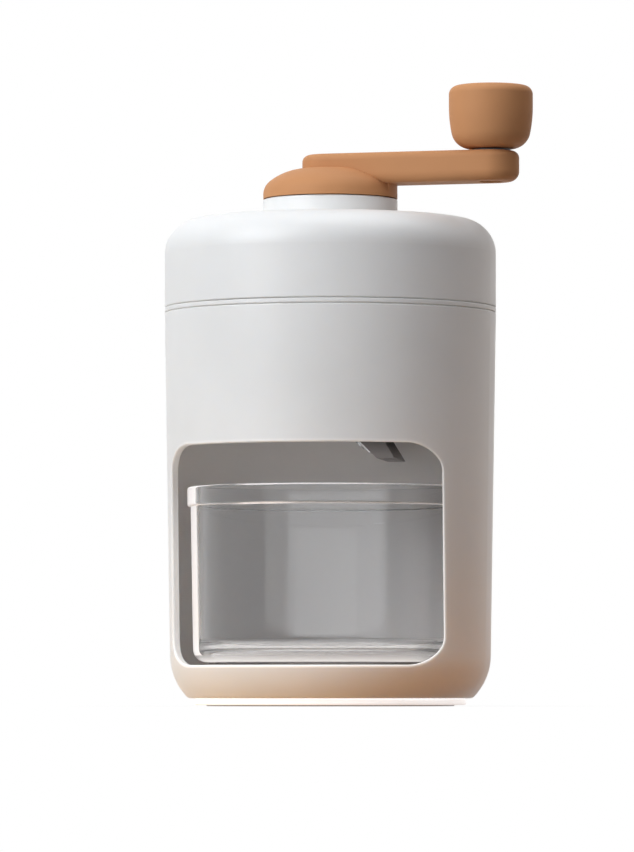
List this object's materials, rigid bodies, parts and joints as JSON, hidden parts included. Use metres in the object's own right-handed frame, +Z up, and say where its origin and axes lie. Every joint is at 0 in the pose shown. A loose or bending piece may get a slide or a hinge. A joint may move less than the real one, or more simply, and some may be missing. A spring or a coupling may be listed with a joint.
{
  "type": "hand cranked ice shaver",
  "caption": "Round countertop ice shaver: crank with knob on a round-shouldered lid, ice hopper with blade below, spring-loaded spiked presser, and a clear cup behind a window.",
  "frame": {"origin": "on the housing's axis, on the surface that the shaver stands on", "axes": "+Z up along the housing's axis, -Y out through the window, +X along the crank arm at rest"},
  "size_m": [0.1356, 0.1202, 0.2236],
  "materials": {
    "white_plastic": "satin moulded plastic with a soft sheen",
    "tan_plastic": "matte moulded plastic",
    "clear_plastic": "clear polished plastic",
    "blade_steel": "ground stainless steel",
    "steel": "plated steel",
    "dark_plastic": "matte glass-filled plastic",
    "bearing_plastic": "natural acetal",
    "silicone": "translucent silicone rubber"
  },
  "bodies": {
    "housing": {"body_shell": "white_plastic", "base_plate": "white_plastic", "base_screws": "steel", "foot_pad": "silicone"},
    "cup": {"cup": "clear_plastic"},
    "hopper": {"ice_hopper": "white_plastic", "blade_holder": "dark_plastic", "blade": "blade_steel", "blade_screws": "steel", "holder_screws": "steel"},
    "lid": {"lid_cover": "white_plastic", "lid_liner": "white_plastic", "lid_screws": "steel", "lid_seal": "silicone", "neck_bush": "bearing_plastic"},
    "crank": {"crank_arm": "tan_plastic", "drive_shaft": "steel", "thrust_washer": "bearing_plastic", "shaft_clip": "steel", "hub_screw": "steel", "hub_cap": "tan_plastic", "spring_seat": "steel", "presser_spring": "steel", "stop_nut": "steel", "knob_pin": "steel", "knob_washer": "dark_plastic", "knob_nut": "steel"},
    "knob": {"knob": "tan_plastic", "knob_cap": "tan_plastic"},
    "presser": {"presser_disc": "white_plastic", "spike_plate": "blade_steel", "spike_screws": "steel"}
  },
  "joints": [
    {"name": "cup_slide", "type": "slide", "parent": "housing", "child": "cup", "axis": [0, -1, 0], "range_m": [0, 0.115]},
    {"name": "hopper_lift", "type": "slide", "parent": "housing", "child": "hopper", "axis": [0, 0, 1], "range_m": [0, 0.062]},
    {"name": "lid_lift", "type": "slide", "parent": "hopper", "child": "lid", "axis": [0, 0, 1], "range_m": [0, 0.05]},
    {"name": "crank_turn", "type": "hinge", "parent": "lid", "child": "crank", "pos_m": [0, 0, 0.184], "axis": [0, 0, 1], "continuous": true},
    {"name": "knob_spin", "type": "hinge", "parent": "crank", "child": "knob", "pos_m": [0.0604, 0, 0.2007], "axis": [0, 0, 1], "continuous": true},
    {"name": "presser_slide", "type": "slide", "parent": "crank", "child": "presser", "axis": [0, 0, 1], "range_m": [0, 0.03], "stiffness_N_per_m": 150, "springref_m": -0.02, "deforming": ["presser_spring"]}
  ]
}
